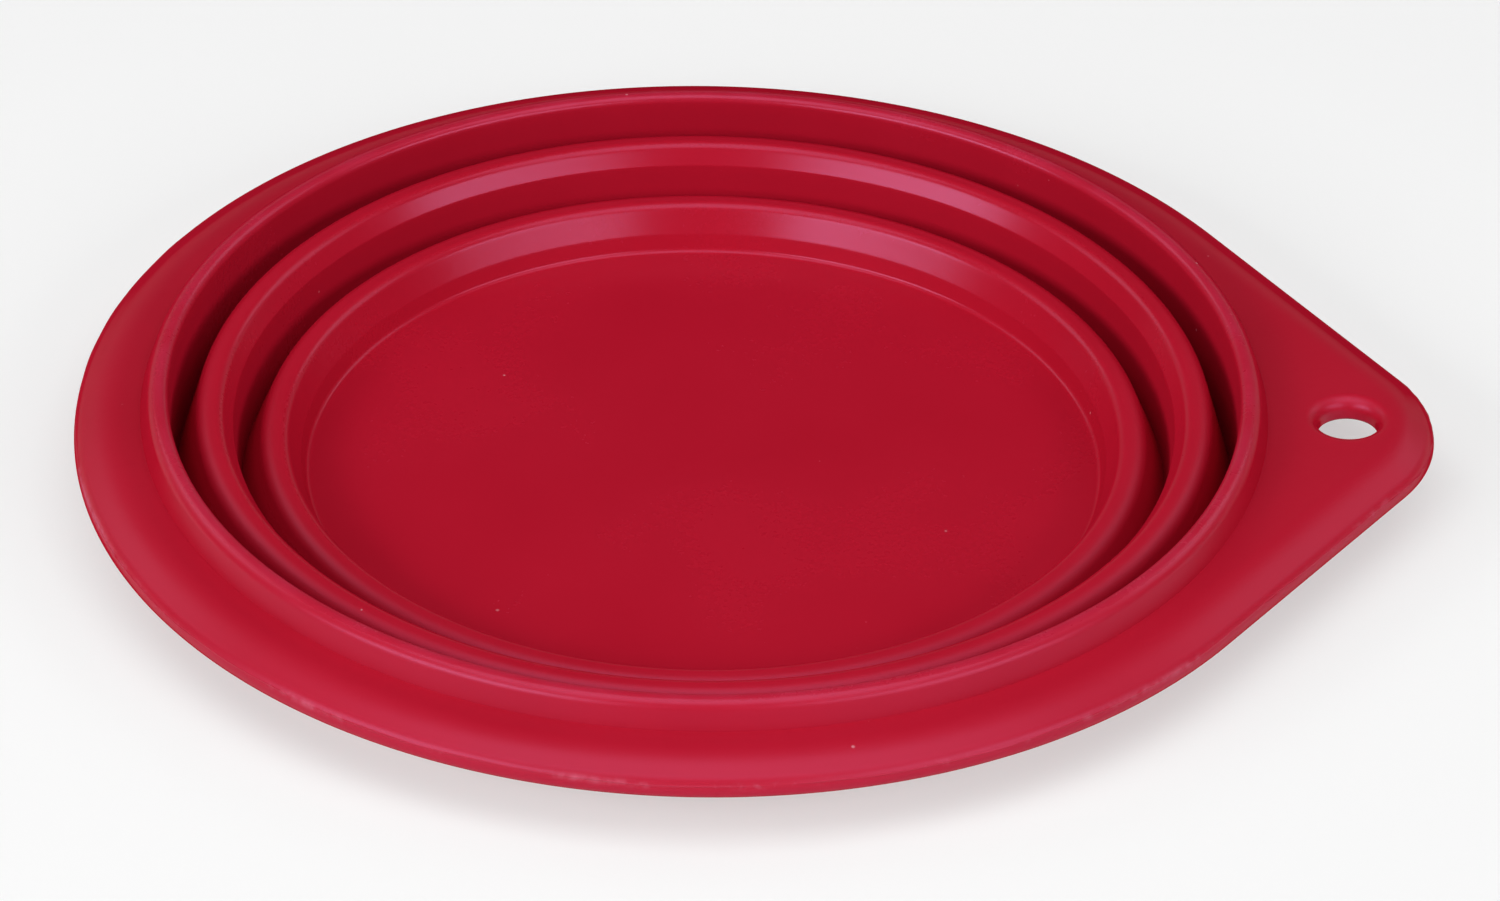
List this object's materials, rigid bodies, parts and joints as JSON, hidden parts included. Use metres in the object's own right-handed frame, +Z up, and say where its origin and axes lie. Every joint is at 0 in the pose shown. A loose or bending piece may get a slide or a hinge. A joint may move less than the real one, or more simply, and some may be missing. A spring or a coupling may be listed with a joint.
{
  "type": "collapsible bowl",
  "caption": "Round silicone bowl that folds flat in rings, with a wide brim drawn out to a pointed hanging tab with a hole.",
  "frame": {"origin": "on the bowl's axis, at the flat underside of the base, which is the table", "axes": "+Z up along the bowl's axis, +X towards the tip of the hanging tab"},
  "size_m": [0.1948, 0.1804, 0.0172],
  "materials": {
    "silicone": "smooth red silicone with a soft sheen"
  },
  "bodies": {
    "base": {"base_floor": "silicone", "base_wall": "silicone", "lower_fold_web": "silicone"},
    "middle": {"middle_wall": "silicone", "upper_fold_web": "silicone"},
    "rim": {"upper_wall": "silicone", "rim_flange": "silicone", "hanging_tab": "silicone"}
  },
  "joints": [
    {"name": "lower_fold", "type": "slide", "parent": "base", "child": "middle", "axis": [0, 0, 1], "range_m": [0, 0.016], "deforming": ["lower_fold_web"]},
    {"name": "upper_fold", "type": "slide", "parent": "middle", "child": "rim", "axis": [0, 0, 1], "range_m": [0, 0.025], "deforming": ["upper_fold_web"]}
  ]
}
